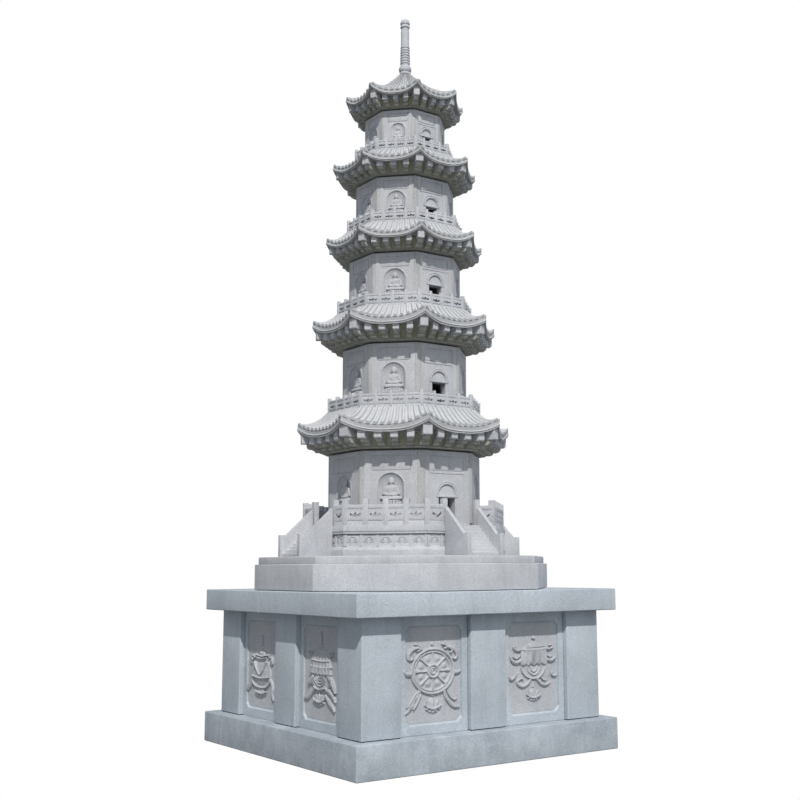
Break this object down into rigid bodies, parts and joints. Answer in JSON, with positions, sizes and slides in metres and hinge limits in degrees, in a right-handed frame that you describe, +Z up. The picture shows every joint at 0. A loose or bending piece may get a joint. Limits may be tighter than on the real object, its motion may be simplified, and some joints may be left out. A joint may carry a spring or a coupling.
{
  "type": "stone pagoda",
  "caption": "Octagonal carved stone tower with hollow storeys, upturned tiled eaves and pierced galleries, on a square panelled pedestal, with a ringed finial.",
  "frame": {"origin": "middle of the base slab's underside, on the ground", "axes": "+Z up along the tower's axis; the first stair and the doors of the front face -Y, and the left side, seen obliquely in the picture, faces -X"},
  "size_m": [2.724, 2.724, 7],
  "materials": {
    "tower_granite": "fine-dressed light grey granite, matt",
    "pedestal_granite": "honed bluish grey granite with a fine speckle",
    "eave_granite": "light grey granite, stained olive grey under the eaves"
  },
  "bodies": {
    "root": {"base_slab": "pedestal_granite", "pedestal_corner_pillar_front_right": "pedestal_granite", "pedestal_corner_pillar_back_right": "pedestal_granite", "pedestal_corner_pillar_back_left": "pedestal_granite", "pedestal_corner_pillar_front_left": "pedestal_granite", "pedestal_middle_pillar_front": "pedestal_granite", "pedestal_front_panel_a": "pedestal_granite", "pedestal_front_panel_b": "pedestal_granite", "pedestal_middle_pillar_right": "pedestal_granite", "pedestal_right_panel_a": "pedestal_granite", "pedestal_right_panel_b": "pedestal_granite", "pedestal_middle_pillar_back": "pedestal_granite", "pedestal_back_panel_a": "pedestal_granite", "pedestal_back_panel_b": "pedestal_granite", "pedestal_middle_pillar_left": "pedestal_granite", "pedestal_left_panel_a": "pedestal_granite", "pedestal_left_panel_b": "pedestal_granite", "pedestal_cap": "pedestal_granite", "plinth_lower": "tower_granite", "plinth_upper": "tower_granite", "platform": "tower_granite", "platform_balustrade_front_left": "tower_granite", "platform_balustrade_front_right": "tower_granite", "platform_balustrade_back_right": "tower_granite", "platform_balustrade_back_left": "tower_granite", "stair_front": "tower_granite", "stair_right": "tower_granite", "stair_back": "tower_granite", "stair_left": "tower_granite", "storey_1_wall": "tower_granite", "roof_1": "eave_granite", "storey_2_wall": "tower_granite", "roof_2": "eave_granite", "storey_3_wall": "tower_granite", "roof_3": "eave_granite", "storey_4_wall": "tower_granite", "roof_4": "eave_granite", "storey_5_wall": "tower_granite", "roof_5": "eave_granite", "gallery_2": "tower_granite", "gallery_3": "tower_granite", "gallery_4": "tower_granite", "gallery_5": "tower_granite", "finial_bowl": "tower_granite", "finial_spire": "tower_granite"}
  },
  "joints": []
}
